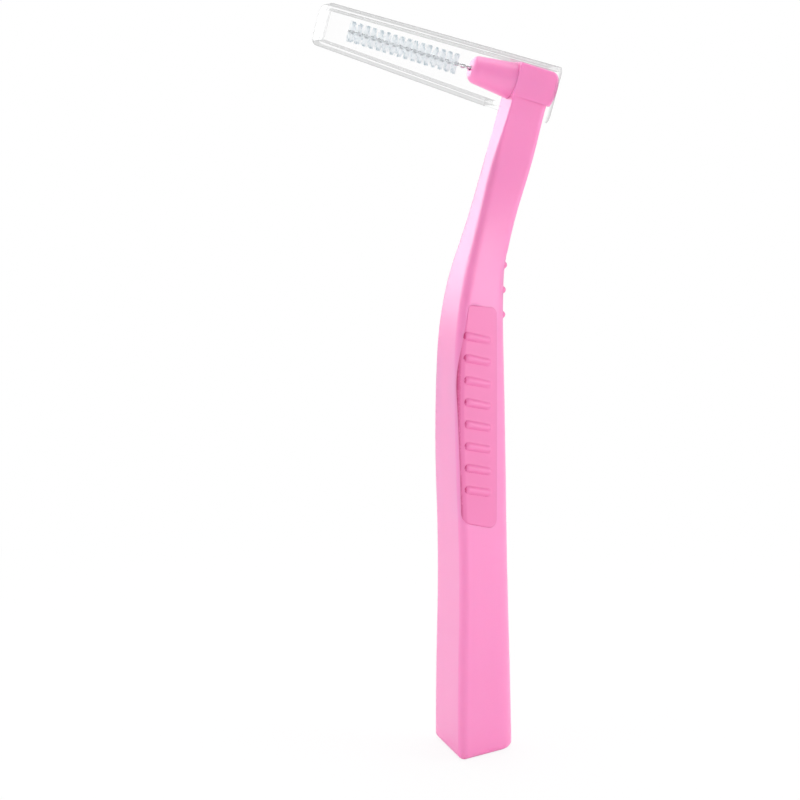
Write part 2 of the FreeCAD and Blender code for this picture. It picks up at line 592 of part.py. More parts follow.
def add_rib(body, name, offset, radius, length):
    # A bar with round ends, turned about its own axis
    sketch = sketch_on(body, name + "_profile", "XZ_Plane")
    sketch.AttachmentOffset = offset
    r = V[radius]
    end = V[length]
    sketch.addGeometry(arc((r, 0), r, math.pi / 2, math.pi), False)
    sketch.addGeometry(line((0, 0), (end, 0)), False)
    sketch.addGeometry(arc((end - r, 0), r, 0, math.pi / 2), False)
    sketch.addGeometry(line((end - r, r), (r, r)), False)
    sketch.addConstraint(Sketcher.Constraint("Coincident", 0, 2, 1, 1))
    sketch.addConstraint(Sketcher.Constraint("Coincident", 1, 2, 2, 1))
    sketch.addConstraint(Sketcher.Constraint("Tangent", 2, 2, 3, 1))
    sketch.addConstraint(Sketcher.Constraint("Tangent", 3, 2, 0, 1))
    sketch.addConstraint(Sketcher.Constraint("Coincident", 1, 1, -1, 1))
    sketch.addConstraint(Sketcher.Constraint("PointOnObject", 0, 3, -1))
    sketch.addConstraint(Sketcher.Constraint("PointOnObject", 2, 3, -1))
    sketch.addConstraint(Sketcher.Constraint("Horizontal", 1))
    sketch.addConstraint(Sketcher.Constraint("Equal", 0, 2))
    dimension(sketch, "radius", "{%s}" % radius, "Radius", 0, r)
    dimension(sketch, "length", "{%s}" % length, "DistanceX", 1, 1, 1, 2, end)
    rib = body.newObject("PartDesign::Revolution", name)
    rib.Profile = sketch
    rib.ReferenceAxis = (sketch, ["H_Axis"])
    rib.Angle = 360
    DOC.recompute()


def make_left_pad():
    body = handle_body("left_grip_pad", width="{STATION_width} - 2 * {pad_recess}")
    keep_inside(body, "left_trim", "XZ_Plane", pad_outline)
    keep_above(body, "left_floor", "XZ_Plane", "{pad_floor}")
    count = int(V["rib_count"])
    for i in range(count):
        share = i / max(count - 1, 1)
        reach = V["rib_first_reach"] + share * (V["rib_last_reach"] - V["rib_first_reach"])
        place = Vector(-V["rib_front"], V["rib_first"] - i * V["rib_step"], reach)
        turn = Rotation(-V["rib_slope"], V["rib_tuck"], 0)
        add_rib(body, "left_rib_%d" % (i + 1), Placement(place, turn), "rib_radius", "rib_length")
    return body


def make_right_pad(left):
    pad = DOC.addObject("Part::Mirroring", "right_grip_pad")
    pad.Source = left
    pad.Normal = Vector(0, 1, 0)
    DOC.recompute()
    return pad


def make_rear_pad():
    body = handle_body("rear_grip_pad", shift=" - {rear_recess}")
    keep_inside(body, "rear_trim", "YZ_Plane", rear_outline)
    keep_above(body, "rear_floor_cut", "YZ_Plane", "{rear_floor}")
    count = int(V["rear_rib_count"])
    for i in range(count):
        share = i / max(count - 1, 1)
        reach = V["rear_rib_reach"] + V["rear_rib_climb"] * share ** 2
        level = V["rear_rib_first"] + i * V["rear_rib_step"]
        # Local X of the profile is turned to run across the handle, along +Y
        place = Vector(reach, level, V["rear_rib_length"] / 2)
        turn = Rotation(Vector(0, 1, 0), 90)
        add_rib(body, "rear_rib_%d" % (i + 1), Placement(place, turn), "rear_rib_radius", "rear_rib_length")
    return body


# Brush: holder, twisted wire and filaments, along the brush axis

def make_holder():
    body = new_body("brush_holder")
    along_brush(body)
    sketch = sketch_on(body, "holder_profile", "XZ_Plane")
    # Local X is the radius and local Y runs to the tip
    end = V["nozzle_end"]
    seat = V["head_front"]
    root = V["spigot_length"] - seat
    edge = V["nozzle_edge_round"]
    points = [(0, -root), (V["spigot_radius"], -root), (V["spigot_radius"], seat), (V["nozzle_root"], seat),
              (V["nozzle_tip"], end - edge), (V["nozzle_tip"] - edge, end), (V["bore_radius"], end),
              (V["bore_radius"], V["bore_floor"]), (0, V["bore_floor"])]
    count = len(points)
    for i in range(count):
        start = points[i]
        stop = points[(i + 1) % count]
        if i == 4:
            sketch.addGeometry(arc((start[0] - edge, start[1]), edge, 0, math.pi / 2), False)
        else:
            sketch.addGeometry(line(start, stop), False)
    for i in range(count):
        join = "Tangent" if i == 4 else "Coincident"
        sketch.addConstraint(Sketcher.Constraint(join, i, 2, (i + 1) % count, 1))
    for i in (0, 2, 5, 7):
        sketch.addConstraint(Sketcher.Constraint("Horizontal", i))
    for i in (1, 6, 8):
        sketch.addConstraint(Sketcher.Constraint("Vertical", i))
    sketch.addConstraint(Sketcher.Constraint("PointOnObject", 8, 1, -2))
    dimension(sketch, "root", "{spigot_length} - {head_front}", "DistanceY", 0, 1, -1, 1, root)
    dimension(sketch, "spigot", "{spigot_radius}", "DistanceX", -1, 1, 1, 1, V["spigot_radius"])
    dimension(sketch, "seat", "{head_front}", "DistanceY", -1, 1, 2, 1, seat)
    dimension(sketch, "nozzle_root", "{nozzle_root}", "DistanceX", -1, 1, 3, 1, V["nozzle_root"])
    sketch.addConstraint(Sketcher.Constraint("Horizontal", 4, 1, 4, 3))
    dimension(sketch, "edge", "{nozzle_edge_round}", "Radius", 4, edge)
    dimension(sketch, "edge_place", "{nozzle_tip} - {nozzle_edge_round}", "DistanceX", -1, 1, 4, 3,
              V["nozzle_tip"] - edge)
    dimension(sketch, "edge_level", "{nozzle_end} - {nozzle_edge_round}", "DistanceY", -1, 1, 4, 3, end - edge)
    dimension(sketch, "bore", "{bore_radius}", "DistanceX", -1, 1, 6, 1, V["bore_radius"])
    dimension(sketch, "bore_floor", "{bore_floor}", "DistanceY", -1, 1, 7, 1, V["bore_floor"])
    turned = body.newObject("PartDesign::Revolution", "holder_turned")
    turned.Profile = sketch
    turned.ReferenceAxis = (sketch, ["V_Axis"])
    turned.Angle = 360
    DOC.recompute()
    return body


def strand_point(height, hand):
    angle = 2 * math.pi * height / V["twist_pitch"] + (math.pi if hand else 0.0)
    offset = V["strand_offset"]
    rise = V["twist_pitch"] / (2 * math.pi)
    point = Vector(offset * math.cos(angle), offset * math.sin(angle), height)
    along = Vector(-offset * math.sin(angle), offset * math.cos(angle), rise)
    return point, along.normalize()


def biarc(p0, t0, p1, t1):
    # Two arcs that leave p0 along t0, meet smoothly and reach p1 along t1
    chord = p1 - p0
    both = t0 + t1
    spread = 2 * (1 - t0.dot(t1))
    reach = chord.dot(both)
    leg = (math.sqrt(reach ** 2 + spread * chord.dot(chord)) - reach) / spread
    q0 = p0 + t0 * leg
    q1 = p1 - t1 * leg
    meet = (q0 + q1) * 0.5
    return [corner_arc(p0, q0, meet), corner_arc(meet, q1, p1)]


def corner_arc(start, corner, end):
    middle = (start + end) * 0.5
    half = (end - start).Length / 2
    towards = corner - middle
    turn = 2 * math.atan2(towards.Length, half)
    sagitta = half * math.tan(turn / 4)
    return Part.Arc(start, middle + towards.normalize() * sagitta, end).toShape()


def make_wire():
    # Up one strand, round the fold at the tip and down the other, by quarter turns
    fold = V["wire_end"] - V["wire_radius"] - V["strand_offset"]
    start = V["wire_start"]
    quarters = math.ceil((fold - start) / (V["twist_pitch"] / 4))
    heights = [start + (fold - start) * i / quarters for i in range(quarters + 1)]
    knots = [strand_point(h, False) for h in heights]
    for height in reversed(heights):
        point, along = strand_point(height, True)
        knots.append((point, along * -1))
    edges = []
    for (p0, t0), (p1, t1) in zip(knots, knots[1:]):
        edges += biarc(p0, t0, p1, t1)
    path = Part.Wire(edges)
    p0, t0 = knots[0]
    section = Part.Wire(Part.Circle(p0, t0, V["wire_radius"]).toShape())
    shell = Part.BRepOffsetAPI.MakePipeShell(path)
    shell.add(section)
    shell.build()
    shell.makeSolid()
    wire = DOC.addObject("Part::Feature", "core_wire")
    wire.Shape = shell.shape()
    along_brush(wire)
    print("core_wire volume over section times length",
          wire.Shape.Volume / (math.pi * V["wire_radius"] ** 2 * path.Length))
    return wire


def make_bristles():
    # Straight filaments through the axis, each square to the two strands that grip it
    count = int(V["bristle_length"] / V["filament_step"]) + 1
    filaments = []
    for i in range(count):
        height = V["bristle_start"] + i * V["filament_step"]
        strand = strand_point(height, False)[0]
        across = Vector(-strand.y, strand.x, 0).normalize()
        foot = Vector(0, 0, height) - across * (V["bristle_span"] / 2)
        filaments.append(Part.makeCylinder(V["filament_radius"], V["bristle_span"], foot, across))
    bristles = DOC.addObject("Part::Feature", "bristles")
    bristles.Shape = Part.makeCompound(filaments)
    along_brush(bristles)
    return bristles


# Cap: a drafted box with a closed end, hollow, with a slot for the neck below its mouth

def cap_section(sketch, height, width, corner):
    # Local X is up the neck, local Y across. Each value is a formula and its number now.
    r = corner[1]
    up = height[1] / 2 - r
    side = width[1] / 2 - r
    belt(sketch, [((-up, -side), r), ((up, -side), r), ((up, side), r), ((-up, side), r)])
    for k in (3, 5, 7):
        sketch.addConstraint(Sketcher.Constraint("Equal", 1, k))
    sketch.addConstraint(Sketcher.Constraint("Symmetric", 1, 3, 5, 3, -1, 1))
    sketch.addConstraint(Sketcher.Constraint("Symmetric", 3, 3, 7, 3, -1, 1))
    sketch.addConstraint(Sketcher.Constraint("Vertical", 0))
    dimension(sketch, "corner", corner[0], "Radius", 1, r)
    dimension(sketch, "up", "(%s) / 2 - (%s)" % (height[0], corner[0]), "DistanceX", 1, 3, -1, 1, up)
    dimension(sketch, "side", "(%s) / 2 - (%s)" % (width[0], corner[0]), "DistanceY", 1, 3, -1, 1, side)


def cap_sections(name, wall, levels, body=None):
    # The mouth and the closed end, less a wall all round: loose sketches, or in a body
    sketches = []
    corner = ("{cap_corner} - %s" % wall[0], V["cap_corner"] - wall[1])
    for end, level in zip(("cap_mouth", "cap_end"), levels):
        if body is None:
            sketch = DOC.addObject("Sketcher::SketchObject", name + "_" + end)
            place = "Placement"
        else:
            sketch = sketch_on(body, name + "_" + end, "XY_Plane")
            place = "AttachmentOffset"
        bind(sketch, place + ".Base.x", "-{%s_sag}" % end)
        bind(sketch, place + ".Base.z", level)
        height = ("{%s_height} - 2 * %s" % (end, wall[0]), V[end + "_height"] - 2 * wall[1])
        width = ("{%s_width} - 2 * %s" % (end, wall[0]), V[end + "_width"] - 2 * wall[1])
        cap_section(sketch, height, width, corner)
        sketches.append(sketch)
    return sketches


def make_cap():
    body = body_from_loft("cap", cap_sections("outside", ("0", 0.0), ("-{cap_mouth}", "{cap_end}")))
    along_brush(body)
    round_level(body, "end_round", V["cap_end"], "{cap_end_round}")
    inside = cap_sections("inside", ("{cap_wall}", V["cap_wall"]),
                          ("-{cap_mouth}", "{cap_end} - {cap_wall}"), body)
    cavity = body.newObject("PartDesign::SubtractiveLoft", "cap_cavity")
    cavity.Profile = inside[0]
    cavity.Sections = inside[1:]
    DOC.recompute()
    sketch = sketch_on(body, "slot_plan", "YZ_Plane")
    # Local X runs across and local Y along the brush
    r = V["slot_corner"]
    side = V["slot_width"] / 2 - r
    front = V["slot_front"] - r
    mouth = V["cap_mouth"]
    belt(sketch, [((-side, -mouth), r), ((side, -mouth), r), ((side, front), r), ((-side, front), r)])
    for k in (3, 5, 7):
        sketch.addConstraint(Sketcher.Constraint("Equal", 1, k))
    dimension(sketch, "corner", "{slot_corner}", "Radius", 1, r)
    for k, left, level, place in ((1, True, "mouth", mouth), (3, False, "mouth", mouth),
                                  (5, False, "front", front), (7, True, "front", front)):
        across = (k, 3, -1, 1) if left else (-1, 1, k, 3)
        along = (k, 3, -1, 1) if level == "mouth" else (-1, 1, k, 3)
        formula = "{cap_mouth}" if level == "mouth" else "{slot_front} - {slot_corner}"
        dimension(sketch, "across_%d" % k, "{slot_width} / 2 - {slot_corner}", "DistanceX", *across, side)
        dimension(sketch, "along_%d" % k, formula, "DistanceY", *along, place)
    cut(body, "neck_slot", sketch, False, "{cap_mouth_height}")
    return body


left_pad = make_left_pad()
NODES = [
    make_handle(),
    make_holder(),
    make_wire(),
    make_bristles(),
    left_pad,
    make_right_pad(left_pad),
    make_rear_pad(),
    make_cap(),
]
DOC.recompute()

for item in DOC.Objects:
    if "Invalid" in item.State or "Error" in item.State:
        raise RuntimeError("%s did not recompute: %s" % (item.Name, item.State))

os.makedirs("parts", exist_ok=True)
for node in NODES:
    shape = node.Shape
    if shape.isNull() or not shape.isValid():
        raise RuntimeError("%s has no valid shape" % node.Label)
    shape.exportStep("parts/%s.step" % node.Label)
    box = shape.BoundBox
    print("%-16s solids %3d volume %9.3f  x %7.2f %7.2f  y %6.2f %6.2f  z %6.2f %6.2f" % (
        node.Label, len(shape.Solids), shape.Volume,
        box.XMin, box.XMax, box.YMin, box.YMax, box.ZMin, box.ZMax))
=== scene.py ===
import json
import math
import random

import bmesh
import bpy
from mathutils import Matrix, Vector


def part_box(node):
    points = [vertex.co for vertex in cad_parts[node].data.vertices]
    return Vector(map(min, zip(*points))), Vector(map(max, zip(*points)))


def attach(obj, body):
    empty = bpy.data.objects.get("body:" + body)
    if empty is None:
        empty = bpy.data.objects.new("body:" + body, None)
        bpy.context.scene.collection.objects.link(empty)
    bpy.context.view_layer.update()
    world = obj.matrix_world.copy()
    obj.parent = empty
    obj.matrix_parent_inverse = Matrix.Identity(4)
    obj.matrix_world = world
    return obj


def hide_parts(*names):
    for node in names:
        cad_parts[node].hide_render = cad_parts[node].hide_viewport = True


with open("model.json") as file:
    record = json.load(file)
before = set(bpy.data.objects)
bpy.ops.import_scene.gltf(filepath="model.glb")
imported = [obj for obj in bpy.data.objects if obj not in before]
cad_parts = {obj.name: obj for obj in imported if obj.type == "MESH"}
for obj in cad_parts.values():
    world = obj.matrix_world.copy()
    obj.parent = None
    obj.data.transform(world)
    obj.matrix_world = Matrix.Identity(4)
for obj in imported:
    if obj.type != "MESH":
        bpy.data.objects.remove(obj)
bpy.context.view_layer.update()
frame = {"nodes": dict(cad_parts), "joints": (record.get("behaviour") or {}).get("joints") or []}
mm = 0.001
scene = bpy.context.scene

# Where the brush runs: the cap pulls off along it, and the bristles' box is centred on it
brushAxis = Vector(frame["joints"][0]["axis"]).normalized()
acrossAxis = Vector((0, 1, 0))
upAxis = acrossAxis.cross(brushAxis)


def middleOf(node):
    low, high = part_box(node)
    return (low + high) / 2


# Camera and view

camera = {
    "place": (-78.716 * mm, -228.776 * mm, 79.979 * mm),
    "towards": (0.28282581, 0.94831902, -0.14387705),
    "lens": 87.87,
    "sensor": 36.0,
    "nearest": 0.01,
    "farthest": 20.0,
}


def makeCamera():
    lens = bpy.data.cameras.new("photoCamera")
    lens.lens = camera["lens"]
    lens.sensor_width = camera["sensor"]
    lens.clip_start = camera["nearest"]
    lens.clip_end = camera["farthest"]
    eye = bpy.data.objects.new("photoCamera", lens)
    eye.location = camera["place"]
    eye.rotation_mode = "QUATERNION"
    eye.rotation_quaternion = Vector(camera["towards"]).to_track_quat("-Z", "Y")
    scene.collection.objects.link(eye)
    scene.camera = eye
    scene.view_settings.view_transform = "Standard"
    print("camera set")


makeCamera()


# Node helpers

def newMaterial(name):
    material = bpy.data.materials.new(name)
    material.use_nodes = True
    tree = material.node_tree
    return material, tree, tree.nodes["Principled BSDF"]


def addNode(tree, kind, inputs=None, **settings):
    node = tree.nodes.new(kind)
    for key, value in settings.items():
        setattr(node, key, value)
    for key, value in (inputs or {}).items():
        node.inputs[key].default_value = value
    return node


def addRange(tree, between, to=(0.0, 1.0)):
    # Maps what lies between two values to two others, and holds it there beyond them
    return addNode(tree, "ShaderNodeMapRange", {"From Min": between[0], "From Max": between[1],
                                               "To Min": to[0], "To Max": to[1]})


def addBlend(tree, first=None, second=None):
    blend = addNode(tree, "ShaderNodeMix", data_type="RGBA")
    for socket, color in (("A", first), ("B", second)):
        if color:
            blend.inputs[socket].default_value = color + (1.0,)
    return blend


# Moulded pinks: slow drift of the colour, fine grain and a change of gloss with it

moldedDetail = {
    "flowStretch": (1.0, 1.0, 0.25),  # melt flows up the mould
    "driftDetail": 3.0,
    "driftRoughness": 0.55,
    "driftSpread": (0.3, 0.7),
    "grainDetail": 4.0,
    "grainRoughness": 0.6,
    "grainMiddle": 0.5,
    "glowReach": (1.0, 0.6, 0.75),  # red light goes deepest
}


def moldedSkinGroup():
    group = bpy.data.node_groups.new("moldedSkin", "ShaderNodeTree")
    face = group.interface
    for name in ("Color", "Deep Color"):
        face.new_socket(name, in_out="INPUT", socket_type="NodeSocketColor")
    for name in ("Drift Scale", "Grain Scale", "Roughness", "Roughness Swing"):
        face.new_socket(name, in_out="INPUT", socket_type="NodeSocketFloat")
    face.new_socket("Color", in_out="OUTPUT", socket_type="NodeSocketColor")
    face.new_socket("Roughness", in_out="OUTPUT", socket_type="NodeSocketFloat")
    face.new_socket("Height", in_out="OUTPUT", socket_type="NodeSocketFloat")
    links = group.links
    come = addNode(group, "NodeGroupInput")
    leave = addNode(group, "NodeGroupOutput")
    place = addNode(group, "ShaderNodeTexCoord")
    flow = addNode(group, "ShaderNodeMapping", {"Scale": moldedDetail["flowStretch"]})
    drift = addNode(group, "ShaderNodeTexNoise", {"Detail": moldedDetail["driftDetail"],
                                                 "Roughness": moldedDetail["driftRoughness"]})
    grain = addNode(group, "ShaderNodeTexNoise", {"Detail": moldedDetail["grainDetail"],
                                                 "Roughness": moldedDetail["grainRoughness"]})
    links.new(place.outputs["Object"], flow.inputs["Vector"])
    links.new(flow.outputs["Vector"], drift.inputs["Vector"])
    links.new(come.outputs["Drift Scale"], drift.inputs["Scale"])
    links.new(place.outputs["Object"], grain.inputs["Vector"])
    links.new(come.outputs["Grain Scale"], grain.inputs["Scale"])
    tint = addBlend(group)
    spread = addRange(group, moldedDetail["driftSpread"])
    links.new(drift.outputs["Fac"], spread.inputs["Value"])
    links.new(spread.outputs["Result"], tint.inputs["Factor"])
    links.new(come.outputs["Color"], tint.inputs["A"])
    links.new(come.outputs["Deep Color"], tint.inputs["B"])
    links.new(tint.outputs["Result"], leave.inputs["Color"])
    centred = addNode(group, "ShaderNodeMath", {1: moldedDetail["grainMiddle"]}, operation="SUBTRACT")
    rough = addNode(group, "ShaderNodeMath", operation="MULTIPLY_ADD")
    links.new(grain.outputs["Fac"], centred.inputs[0])
    links.new(centred.outputs[0], rough.inputs[0])
    links.new(come.outputs["Roughness Swing"], rough.inputs[1])
    links.new(come.outputs["Roughness"], rough.inputs[2])
    links.new(rough.outputs[0], leave.inputs["Roughness"])
    links.new(grain.outputs["Fac"], leave.inputs["Height"])
    return group


moldedSkin = moldedSkinGroup()


def moldedMaterial(name, look):
    material, tree, shader = newMaterial(name)
    links = tree.links
    skin = addNode(tree, "ShaderNodeGroup", node_tree=moldedSkin)
    skin.inputs["Color"].default_value = look["color"] + (1.0,)
    skin.inputs["Deep Color"].default_value = look["deepColor"] + (1.0,)
    skin.inputs["Drift Scale"].default_value = look["driftScale"]
    skin.inputs["Grain Scale"].default_value = look["grainScale"]
    skin.inputs["Roughness"].default_value = look["roughness"]
    skin.inputs["Roughness Swing"].default_value = look["roughnessSwing"]
    bump = addNode(tree, "ShaderNodeBump", {"Strength": look["bumpStrength"],
                                           "Distance": look["bumpDepth"]})
    links.new(skin.outputs["Color"], shader.inputs["Base Color"])
    links.new(skin.outputs["Roughness"], shader.inputs["Roughness"])
    links.new(skin.outputs["Height"], bump.inputs["Height"])
    links.new(bump.outputs["Normal"], shader.inputs["Normal"])
    shader.inputs["IOR"].default_value = look["ior"]
    shader.inputs["Subsurface Weight"].default_value = look["glow"]
    shader.inputs["Subsurface Radius"].default_value = moldedDetail["glowReach"]
    shader.inputs["Subsurface Scale"].default_value = look["glowDepth"]
    return material


pinkPlasticLook = {
    "color": (0.93, 0.272, 0.562),
    "deepColor": (0.92, 0.258, 0.547),
    "driftScale": 70.0,
    "grainScale": 9000.0,
    "roughness": 0.34,
    "roughnessSwing": 0.10,
    "bumpStrength": 0.10,
    "bumpDepth": 0.012 * mm,
    "ior": 1.58,
    "glow": 0.35,
    "glowDepth": 0.7 * mm,
}
softPinkLook = {
    "color": (0.86, 0.215, 0.475),
    "deepColor": (0.85, 0.203, 0.458),
    "driftScale": 110.0,
    "grainScale": 7000.0,
    "roughness": 0.40,
    "roughnessSwing": 0.16,
    "bumpStrength": 0.22,
    "bumpDepth": 0.015 * mm,
    "ior": 1.5,
    "glow": 0.10,
    "glowDepth": 0.6 * mm,
}


# Broad polished front edges on the leaning neck, between the bend and the head

neckEdges = {
    "radius": 1.5 * mm,
    "fadeIn": (55 * mm, 60 * mm),  # heights on the handle
    "fadeOut": (74 * mm, 79 * mm),
    "slope": math.tan(math.radians(15.6)),
    "frontHalf": (-16.6 * mm, -17.6 * mm),  # X less the slope's share of Z, at the neck's middle
    "samples": 4,
}


def softenNeckEdges(material):
    tree = material.node_tree
    links = tree.links
    place = addNode(tree, "ShaderNodeTexCoord")
    axes = addNode(tree, "ShaderNodeSeparateXYZ")
    rise = addRange(tree, neckEdges["fadeIn"], (0.0, neckEdges["radius"]))
    fall = addRange(tree, neckEdges["fadeOut"], (neckEdges["radius"], 0.0))
    least = addNode(tree, "ShaderNodeMath", operation="MINIMUM")
    leaning = addNode(tree, "ShaderNodeMath", {1: -neckEdges["slope"]}, operation="MULTIPLY_ADD")
    front = addRange(tree, neckEdges["frontHalf"])
    width = addNode(tree, "ShaderNodeMath", operation="MULTIPLY")
    edge = addNode(tree, "ShaderNodeBevel", samples=neckEdges["samples"])
    links.new(place.outputs["Object"], axes.inputs["Vector"])
    links.new(axes.outputs["Z"], rise.inputs["Value"])
    links.new(axes.outputs["Z"], fall.inputs["Value"])
    links.new(rise.outputs["Result"], least.inputs[0])
    links.new(fall.outputs["Result"], least.inputs[1])
    links.new(axes.outputs["Z"], leaning.inputs[0])
    links.new(axes.outputs["X"], leaning.inputs[2])
    links.new(leaning.outputs[0], front.inputs["Value"])
    links.new(least.outputs[0], width.inputs[0])
    links.new(front.outputs["Result"], width.inputs[1])
    links.new(width.outputs[0], edge.inputs["Radius"])
    links.new(edge.outputs["Normal"], tree.nodes["Bump"].inputs["Normal"])


# Painted shade: a deeper colour in the hollows beside the ribs, most of all at the ribs' steep front
# ends, standing in for the shade there

padCreaseShade = {
    "color": (0.60, 0.045, 0.20),
    "pointiness": (0.49, 0.462),
    "frontPull": 0.06,
    "frontTurn": (-0.45, -0.8),
}


def paintCreaseShade(material):
    tree = material.node_tree
    links = tree.links
    shader = tree.nodes["Principled BSDF"]
    skin = shader.inputs["Base Color"].links[0].from_socket
    shape = addNode(tree, "ShaderNodeNewGeometry")
    turned = addNode(tree, "ShaderNodeSeparateXYZ")
    # Painted shade: darker where the pad is hollow and where its surface turns to the front (-X)
    fronted = addNode(tree, "ShaderNodeMath", {1: padCreaseShade["frontPull"]}, operation="MULTIPLY_ADD")
    hollow = addRange(tree, padCreaseShade["pointiness"])
    steep = addRange(tree, padCreaseShade["frontTurn"])
    either = addNode(tree, "ShaderNodeMath", operation="MAXIMUM")
    tint = addBlend(tree, second=padCreaseShade["color"])
    links.new(shape.outputs["Normal"], turned.inputs["Vector"])
    links.new(turned.outputs["X"], fronted.inputs[0])
    links.new(shape.outputs["Pointiness"], fronted.inputs[2])
    links.new(fronted.outputs[0], hollow.inputs["Value"])
    links.new(turned.outputs["X"], steep.inputs["Value"])
    links.new(hollow.outputs["Result"], either.inputs[0])
    links.new(steep.outputs["Result"], either.inputs[1])
    links.new(either.outputs[0], tint.inputs["Factor"])
    links.new(skin, tint.inputs["A"])
    links.new(tint.outputs["Result"], shader.inputs["Base Color"])


pinkPlastic = moldedMaterial("pinkPlastic", pinkPlasticLook)
softPink = moldedMaterial("softPink", softPinkLook)
softenNeckEdges(pinkPlastic)
paintCreaseShade(softPink)
print("pink materials made")


# Steel wire: drawn lines along the brush

steelWireLook = {
    "color": (0.80, 0.81, 0.82),
    "darkColor": (0.60, 0.61, 0.62),
    "roughness": (0.14, 0.28),
    "lineScale": (4000.0, 26000.0, 26000.0),
    "lineDetail": 3.0,
}


def makeSteelWire():
    material, tree, shader = newMaterial("drawnSteel")
    links = tree.links
    place = addNode(tree, "ShaderNodeTexCoord")
    along = addNode(tree, "ShaderNodeMapping", {"Scale": steelWireLook["lineScale"]})
    along.inputs["Rotation"].default_value = (0.0, math.atan2(brushAxis.z, -brushAxis.x), 0.0)
    lines = addNode(tree, "ShaderNodeTexNoise", {"Scale": 1.0, "Detail": steelWireLook["lineDetail"]})
    ramp = addBlend(tree, steelWireLook["darkColor"], steelWireLook["color"])
    rough = addRange(tree, (0.0, 1.0), steelWireLook["roughness"])
    links.new(place.outputs["Object"], along.inputs["Vector"])
    links.new(along.outputs["Vector"], lines.inputs["Vector"])
    links.new(lines.outputs["Fac"], ramp.inputs["Factor"])
    links.new(lines.outputs["Fac"], rough.inputs["Value"])
    links.new(ramp.outputs["Result"], shader.inputs["Base Color"])
    links.new(rough.outputs["Result"], shader.inputs["Roughness"])
    shader.inputs["Metallic"].default_value = 1.0
    return material


# Nylon filaments: milky, with painted shade: a deeper blue-grey towards the cut tips stands in for the
# shade the dense filaments throw, as they cast no shadow

nylonLook = {
    "color": (0.76, 0.82, 0.85),
    "paleColor": (0.88, 0.91, 0.93),
    "tipShadeColor": (0.36, 0.45, 0.51),
    "tipReach": (0.92 * mm, 1.2 * mm),
    "roughness": (0.32, 0.52),
    "streakScale": 4000.0,
    "streakDetail": 2.0,
    "ior": 1.53,
}


def makeNylon():
    material, tree, shader = newMaterial("whiteNylon")
    links = tree.links
    place = addNode(tree, "ShaderNodeTexCoord")
    streak = addNode(tree, "ShaderNodeTexNoise", {"Scale": nylonLook["streakScale"],
                                                 "Detail": nylonLook["streakDetail"]})
    tint = addBlend(tree, nylonLook["color"], nylonLook["paleColor"])
    rough = addRange(tree, (0.0, 1.0), nylonLook["roughness"])
    # How far a point is from the wire
    fromWire = addNode(tree, "ShaderNodeVectorMath", {1: middleOf("bristles")}, operation="SUBTRACT")
    aside = addNode(tree, "ShaderNodeVectorMath", {1: brushAxis}, operation="CROSS_PRODUCT")
    reach = addNode(tree, "ShaderNodeVectorMath", operation="LENGTH")
    # Painted shade: a deeper blue-grey far from the wire, towards the cut tips
    tip = addRange(tree, nylonLook["tipReach"])
    tipShaded = addBlend(tree, second=nylonLook["tipShadeColor"])
    links.new(place.outputs["Object"], fromWire.inputs[0])
    links.new(fromWire.outputs["Vector"], aside.inputs[0])
    links.new(aside.outputs["Vector"], reach.inputs[0])
    links.new(reach.outputs["Value"], tip.inputs["Value"])
    links.new(tip.outputs["Result"], tipShaded.inputs["Factor"])
    links.new(tint.outputs["Result"], tipShaded.inputs["A"])
    links.new(place.outputs["Object"], streak.inputs["Vector"])
    links.new(streak.outputs["Fac"], tint.inputs["Factor"])
    links.new(streak.outputs["Fac"], rough.inputs["Value"])
    links.new(tipShaded.outputs["Result"], shader.inputs["Base Color"])
    links.new(rough.outputs["Result"], shader.inputs["Roughness"])
    shader.inputs["IOR"].default_value = nylonLook["ior"]
    return material


# Clear cap: thin polished walls, which show where they turn away from the eye and at the rim, in a
# painted dark grey that stands in for the shade clear plastic shows at its edges

clearCapLook = {
    "color": (0.14, 0.15, 0.155),
    "ior": 1.5,
    "roughness": (0.08, 0.12),
    "flowScale": 260.0,
    "flowDetail": 2.0,
    "turnBlend": 0.5,
    "turnedFrom": 0.5,
    "wallAlpha": (0.004, 0.8),
    "rimAlpha": 0.22,
    "rimWidth": 0.3 * mm,
}


def makeClearPlastic():
    material, tree, shader = newMaterial("clearStyrene")
    links = tree.links
    place = addNode(tree, "ShaderNodeTexCoord")
    flow = addNode(tree, "ShaderNodeTexNoise", {"Scale": clearCapLook["flowScale"],
                                               "Detail": clearCapLook["flowDetail"]})
    rough = addRange(tree, (0.0, 1.0), clearCapLook["roughness"])
    links.new(place.outputs["Object"], flow.inputs["Vector"])
    links.new(flow.outputs["Fac"], rough.inputs["Value"])
    links.new(rough.outputs["Result"], shader.inputs["Roughness"])
    # Painted shade: the dark grey base colour shows where the walls turn from the eye and at the mouth's
    # rim
    turned = addNode(tree, "ShaderNodeLayerWeight", {"Blend": clearCapLook["turnBlend"]})
    wall = addRange(tree, (clearCapLook["turnedFrom"], 1.0), clearCapLook["wallAlpha"])
    mouth = min(vert.co.dot(brushAxis) for vert in frame["nodes"]["cap"].data.vertices)
    along = addNode(tree, "ShaderNodeVectorMath", {1: brushAxis}, operation="DOT_PRODUCT")
    rim = addRange(tree, (mouth + clearCapLook["rimWidth"], mouth), (0.0, clearCapLook["rimAlpha"]))
    shown = addNode(tree, "ShaderNodeMath", operation="MAXIMUM")
    links.new(turned.outputs["Facing"], wall.inputs["Value"])
    links.new(place.outputs["Object"], along.inputs[0])
    links.new(along.outputs["Value"], rim.inputs["Value"])
    links.new(wall.outputs["Result"], shown.inputs[0])
    links.new(rim.outputs["Result"], shown.inputs[1])
    links.new(shown.outputs[0], shader.inputs["Alpha"])
    shader.inputs["Base Color"].default_value = clearCapLook["color"] + (1.0,)
    shader.inputs["IOR"].default_value = clearCapLook["ior"]
    return material


